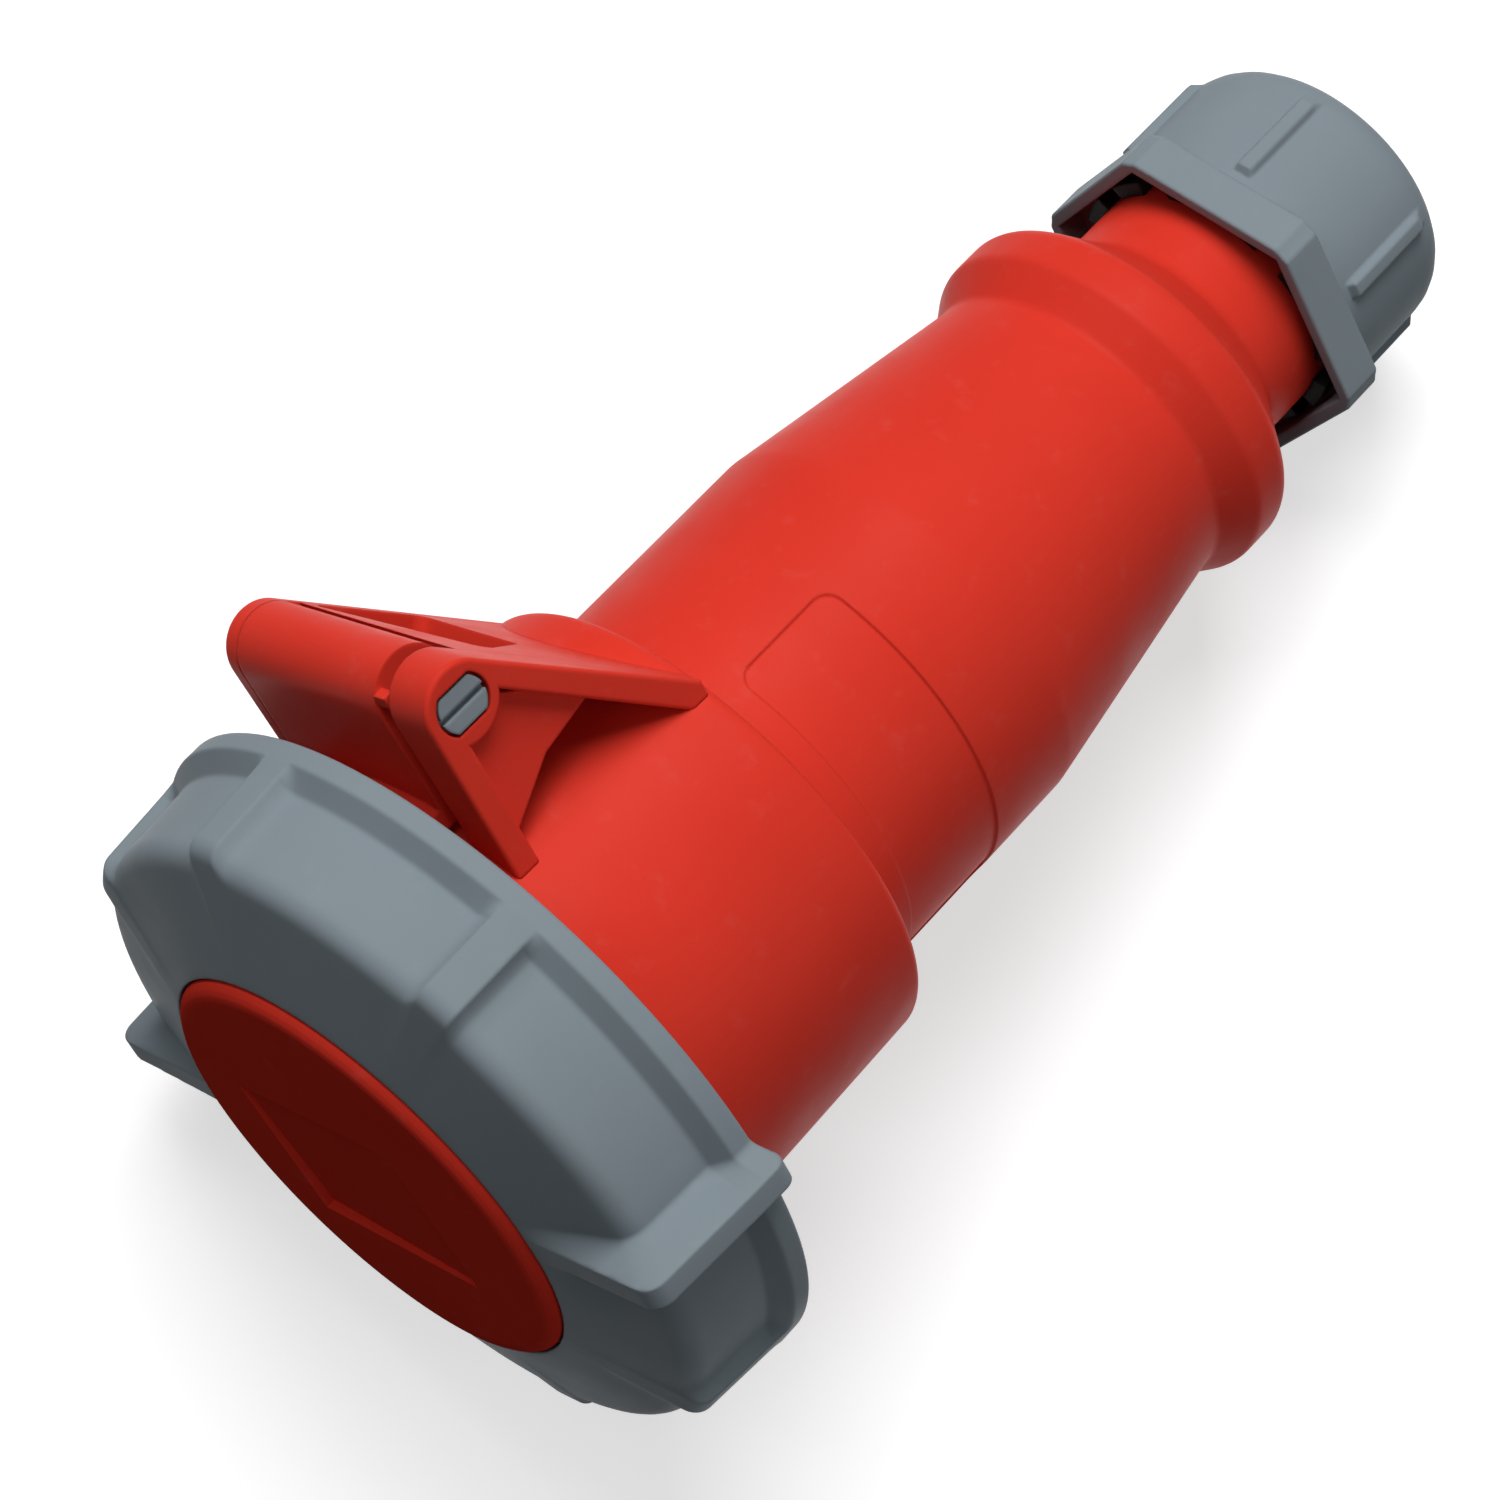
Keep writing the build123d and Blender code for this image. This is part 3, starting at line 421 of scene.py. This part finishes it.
def build_cap():
    bm = bmesh.new()
    outline = rounded_path(CAP, CAP_SPANS, CAP_ARC_STEPS)
    loop = [bm.verts.new((point.x, point.y, 0.0)) for point in outline]
    edges = [bm.edges.new((first, second)) for first, second in zip(loop, loop[1:])]
    spin_round(bm, loop + edges, FULL_TURN, CAP_STEPS, merge=True)
    bmesh.ops.remove_doubles(bm, verts=bm.verts, dist=0.001)

    # The two open rims: the back one is closed flat, the front one is filled up to the pocket
    open_edges = [edge for edge in bm.edges if len(edge.link_faces) == 1]
    front = [edge for edge in open_edges if edge.verts[0].co.y < CAP_FACE_Y + 0.1]
    back = [edge for edge in open_edges if edge.verts[0].co.y > CAP_FACE_Y + 0.1]
    bmesh.ops.holes_fill(bm, edges=back, sides=0)
    corners = [bm.verts.new((x, CAP_FACE_Y, z)) for x, z, depth in POCKET]
    pocket_rim = [bm.edges.new((corners[index - 1], corners[index])) for index in range(4)]
    bmesh.ops.triangle_fill(bm, use_beauty=True, use_dissolve=False, edges=front + pocket_rim)
    over_pocket = [face for face in bm.faces
                   if len(face.verts) == 3 and set(face.verts) <= set(corners)]
    bmesh.ops.delete(bm, geom=over_pocket, context="FACES_ONLY")

    # Pocket floor, its corners drawn in by the draft of the walls
    middle_x = sum(x for x, z, depth in POCKET) / 4
    middle_z = sum(z for x, z, depth in POCKET) / 4
    floor = []
    for x, z, depth in POCKET:
        reach = math.hypot(x - middle_x, z - middle_z)
        inward = POCKET_DRAFT * min(1.0, depth)
        floor_x = x - (x - middle_x) / reach * inward
        floor_z = z - (z - middle_z) / reach * inward
        floor.append(bm.verts.new((floor_x, CAP_FACE_Y + depth, floor_z)))
    for index in range(4):
        bm.faces.new((corners[index - 1], corners[index], floor[index], floor[index - 1]))
    bm.faces.new((floor[0], floor[1], floor[2]))
    bm.faces.new((floor[0], floor[2], floor[3]))
    for vertex in bm.verts:
        vertex.co = on_axes(*vertex.co)
    return finish_mesh("cap_disc", bm, matt_red, 25.0)


# Front housing: drafted shell with its collar, shoulder and keyway
COLLAR_BORE = 32.3
HOUSING = ((COLLAR_BORE, -50.6, 0.3), (35.235, -50.6, 0.3), (34.4, 0.0, 1.4), (31.2, 0.0, 0.2),
           (31.2, -14.0, 0.0), (25.4, -14.0, 0.0), (25.4, -17.0, 0.0), (COLLAR_BORE, -17.0, 0.0))
HOUSING_SPANS = (2, 26, 2, 6, 4, 2, 4, 16)
KEYWAY_HALF_WIDTH = 4.0
KEYWAY_DEPTH = 1.6
KEYWAY_LIMIT_RADIUS = 34.0
KEYWAY_END_Y = -16.9


def build_housing():
    path = rounded_path(HOUSING, HOUSING_SPANS)

    def shape(index, angle):
        radius, y = path[index]
        on_bore = 32.0 < radius < 32.7 and y < KEYWAY_END_Y
        across = abs(radius * math.sin(angle))
        if math.cos(angle) < 0 and on_bore and across < KEYWAY_HALF_WIDTH + 0.05:
            radius = min(radius + KEYWAY_DEPTH, KEYWAY_LIMIT_RADIUS)
        return radius, y

    keyway_half = math.degrees(math.asin(KEYWAY_HALF_WIDTH / COLLAR_BORE))
    dense = [(180 - keyway_half, 0.6, 0.1), (180 + keyway_half, 0.6, 0.1)]
    return finish_mesh("housing_shell", spun(path, spread_angles(2.0, dense), shape), red)


# Rear sleeve: cylinder, taper, grip flange and neck, then the bore back to the front
SLEEVE_RADIUS = 28.35
SLEEVE = ((27.6, -10.0, 0.3), (31.0, -10.0, 0.3), (31.0, -0.05, 0.0),
          (SLEEVE_RADIUS, -0.05, 0.0), (SLEEVE_RADIUS, 4.6, 0.0), (SLEEVE_RADIUS, 8.6, 0.0),
          (SLEEVE_RADIUS, 18.7, 0.0), (SLEEVE_RADIUS, 22.7, 0.0), (SLEEVE_RADIUS, 36.0, 8.0),
          (22.9, 73.0, 1.8), (25.9, 77.8, 2.4), (25.9, 83.2, 2.4), (17.4, 91.0, 3.0),
          (17.4, 104.0, 0.3), (16.6, 104.0, 0.0), (16.6, 112.0, 0.4), (15.0, 112.0, 0.3),
          (15.0, 97.0, 0.0), (13.2, 97.0, 0.2), (13.2, 91.0, 1.0), (20.25, 73.0, 4.0),
          (25.7, 36.0, 8.0), (25.7, 0.0, 0.0), (27.6, -2.0, 0.0))
SLEEVE_SPANS = (2, 5, 2, 4, 34, 6, 34, 6, 30, 4, 4, 6, 8, 1, 4, 1, 6, 1, 3, 8, 12, 10, 2, 4)

# Plain field sunk into the sleeve, on the side of the pin's head
FIELD_MIDDLE_DEG = 90.0
FIELD_MIDDLE_Y = 13.65
FIELD_HALF_DEG = 55.0
FIELD_HALF_LENGTH = 8.15
FIELD_CORNER = 2.4
FIELD_DEPTH = 0.34
FIELD_WALL = 0.2


def field_share(angle, y):
    """1 inside the plain field, 0 outside, with rounded corners and a short wall."""
    half_x = SLEEVE_RADIUS * math.radians(FIELD_HALF_DEG)
    dx = abs(SLEEVE_RADIUS * away(angle, FIELD_MIDDLE_DEG)) - (half_x - FIELD_CORNER)
    dy = abs(y - FIELD_MIDDLE_Y) - (FIELD_HALF_LENGTH - FIELD_CORNER)
    outside = math.hypot(max(dx, 0.0), max(dy, 0.0)) + min(max(dx, dy), 0.0) - FIELD_CORNER
    return ease(0.5 - outside / FIELD_WALL)


def build_sleeve():
    path = rounded_path(SLEEVE, SLEEVE_SPANS)

    def shape(index, angle):
        radius, y = path[index]
        if abs(radius - SLEEVE_RADIUS) < 0.01 and 0.0 < y < 30.0:
            radius -= FIELD_DEPTH * field_share(angle, y)
        return radius, y

    dense = [(FIELD_MIDDLE_DEG - FIELD_HALF_DEG, 5.6, 0.22),
             (FIELD_MIDDLE_DEG + FIELD_HALF_DEG, 5.6, 0.22)]
    return finish_mesh("sleeve_body", spun(path, spread_angles(2.0, dense), shape), red, 30.0)


# Gland nut: six-sided skirt and a ribbed dome. The first three radii and the last are the
# skirt's, which change round the axis
DOME_RADIUS = 20.5
NUT = ((30.0, 99.0, 0.2), (30.0, 99.0, 0.4), (30.0, 105.4, 0.7), (DOME_RADIUS, 105.4, 0.35),
       (DOME_RADIUS, 127.2, 6.2), (13.2, 127.2, 1.0), (13.2, 114.6, 0.0), (16.9, 114.6, 0.0),
       (16.9, 103.4, 0.2), (30.0, 103.4, 0.3))
NUT_SPANS = (2, 8, 3, 26, 12, 2, 6, 3, 4, 3)
SIXTH_TURN = math.pi / 3
SKIRT_OUTER_APOTHEM = 21.5
SKIRT_OUTER_CORNER = 24.13
SKIRT_INNER_APOTHEM = 19.7
SKIRT_INNER_CORNER = 30.0
SKIRT_SOFTNESS = 0.5
DOME_RIB_HALF_WIDTH = 1.55
DOME_RIB_FLANK = 0.8
DOME_RIB_START = 106.9
DOME_RIB_END = 121.8


def from_flat_middle(angle):
    """Angle from the middle of the nearest flat of the skirt."""
    return (angle - math.radians(30.0) + SIXTH_TURN / 2) % SIXTH_TURN - SIXTH_TURN / 2


def skirt_radius(angle, apothem, corner_radius):
    """Radius of a six-sided skirt whose corners are turned down to a radius."""
    flat = apothem / math.cos(from_flat_middle(angle))
    over = flat - corner_radius
    if over > SKIRT_SOFTNESS:
        return corner_radius
    if over < -SKIRT_SOFTNESS:
        return flat
    t = (over + SKIRT_SOFTNESS) / (2 * SKIRT_SOFTNESS)
    if over > 0:
        return flat + (corner_radius - flat) * t * t * (3 - 2 * t)
    return flat - SKIRT_SOFTNESS * 0.25 * t * t


def nut_path(angle):
    outer = skirt_radius(angle, SKIRT_OUTER_APOTHEM, SKIRT_OUTER_CORNER)
    inner = skirt_radius(angle, SKIRT_INNER_APOTHEM, SKIRT_INNER_CORNER)
    widths = (inner, outer, outer) + tuple(corner[0] for corner in NUT[3:9]) + (inner,)
    corners = [(width, corner[1], corner[2]) for width, corner in zip(widths, NUT)]
    return rounded_path(corners, NUT_SPANS)


def build_nut():
    paths = {}

    def shape(index, angle):
        if angle not in paths:
            paths[angle] = nut_path(angle)
        radius, y = paths[angle][index]
        if radius > 18.0 and 106.5 < y < 123.0:
            across = abs(DOME_RADIUS * math.sin(from_flat_middle(angle)))
            rib = ease((DOME_RIB_HALF_WIDTH - across) / DOME_RIB_FLANK)
            radius += rib * ease((y - DOME_RIB_START) / 0.7) * ease((DOME_RIB_END - y) / 0.6)
        return radius, y

    dense = [(30 + 60 * k, 6.0, 0.35) for k in range(6)] + [(60 * k, 7.0, 0.5) for k in range(6)]
    return finish_mesh("nut_body", spun(nut_path(0.0), spread_angles(2.0, dense), shape), grey)


ring = build_ring()
ramps = [build_ramp("ring_ramp_near", 51.0), build_ramp("ring_ramp_far", 231.0)]
cap = build_cap()
housing = build_housing()
sleeve = build_sleeve()
nut = build_nut()
for piece in [ring] + ramps:
    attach(piece, "ring")
    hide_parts("bayonet_ring")
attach(cap, "lid")
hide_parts("lid_cap")
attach(housing, "housing")
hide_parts("front_housing", "socket_collar")
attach(sleeve, "housing")
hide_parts("rear_sleeve")
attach(nut, "nut")
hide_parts("gland_nut")


# Floor, light and camera

def seen_directly(tree):
    """1 for rays that see the backdrop: from the camera, in a reflection or through glass."""
    path = tree.nodes.new("ShaderNodeLightPath")
    total = path.outputs["Is Camera Ray"]
    for name in ("Is Glossy Ray", "Is Transmission Ray"):
        node = tree.nodes.new("ShaderNodeMath")
        node.operation = "MAXIMUM"
        tree.links.new(total, node.inputs[0])
        tree.links.new(path.outputs[name], node.inputs[1])
        total = node.outputs["Value"]
    return total


def grey_level(value):
    return (value, value, value, 1.0)


def studio_floor():
    """Pale floor that keeps the object's shadow and throws little light back up."""
    bpy.ops.mesh.primitive_plane_add(size=6.0, location=(0, 0, 0))
    floor = bpy.context.object
    floor.name = "studio_floor"
    material, tree, shader = new_material("pale_floor")
    shader.inputs["Base Color"].default_value = grey_level(0.62)
    shader.inputs["Roughness"].default_value = 0.9
    shader.inputs["Specular IOR Level"].default_value = 0.04
    shader.inputs["Emission Color"].default_value = grey_level(1.0)
    shader.inputs["Emission Strength"].default_value = 0.6
    dim = tree.nodes.new("ShaderNodeBsdfDiffuse")
    dim.inputs["Color"].default_value = grey_level(0.12)
    mix = tree.nodes.new("ShaderNodeMixShader")
    tree.links.new(seen_directly(tree), mix.inputs["Fac"])
    tree.links.new(dim.outputs["BSDF"], mix.inputs[1])
    tree.links.new(shader.outputs["BSDF"], mix.inputs[2])
    tree.links.new(mix.outputs["Shader"], tree.nodes["Material Output"].inputs["Surface"])
    floor.data.materials.append(material)


def area_light(name, location, aim, size, power):
    data = bpy.data.lights.new(name, "AREA")
    data.shape = "SQUARE"
    data.size = size
    data.energy = power
    lamp = bpy.data.objects.new(name, data)
    lamp.location = location
    facing = Vector(aim) - Vector(location)
    lamp.rotation_euler = facing.to_track_quat("-Z", "Y").to_euler()
    bpy.context.scene.collection.objects.link(lamp)


def studio_world(ambient):
    """White backdrop, with a weak even light on the object."""
    world = bpy.data.worlds.new("studio")
    world.use_nodes = True
    tree = world.node_tree
    background = tree.nodes["Background"]
    background.inputs["Color"].default_value = grey_level(1.0)
    background.inputs["Strength"].default_value = ambient
    backdrop = tree.nodes.new("ShaderNodeBackground")
    backdrop.inputs["Strength"].default_value = 1.0
    mix = tree.nodes.new("ShaderNodeMixShader")
    tree.links.new(seen_directly(tree), mix.inputs["Fac"])
    tree.links.new(background.outputs["Background"], mix.inputs[1])
    tree.links.new(backdrop.outputs["Background"], mix.inputs[2])
    tree.links.new(mix.outputs["Shader"], tree.nodes["World Output"].inputs["Surface"])
    bpy.context.scene.world = world


BODY_MIDDLE = (0, 0, 0.04)
RING_MIDDLE = (0, -0.06, 0.04)
studio_floor()
studio_world(ambient=0.06)
area_light("key", (-0.37, 0.31, 0.88), BODY_MIDDLE, size=0.6, power=9.6)
area_light("fill", (0.85, 0.1, 0.55), BODY_MIDDLE, size=0.8, power=1.9)
area_light("over", (-0.45, -0.26, 0.84), RING_MIDDLE, size=0.5, power=1.1)

CAMERA_PLACE = ORIGIN + Vector((0.059112, -0.107214, 0.532728))
CAMERA_RIGHT = Vector((0.744412, 0.664843, 0.061996))
CAMERA_UP = Vector((-0.658430, 0.715431, 0.233740))
CAMERA_BACK = Vector((0.111040, -0.214818, 0.970322))
camera_data = bpy.data.cameras.new("camera")
camera_data.lens = 108.0
camera_data.sensor_width = 36.0
camera_data.clip_start = 0.01
camera = bpy.data.objects.new("camera", camera_data)
rotation = Matrix((CAMERA_RIGHT, CAMERA_UP, CAMERA_BACK)).transposed()
camera.matrix_world = Matrix.Translation(CAMERA_PLACE) @ rotation.to_4x4()
bpy.context.scene.collection.objects.link(camera)
bpy.context.scene.camera = camera
bpy.context.scene.view_settings.view_transform = "Standard"
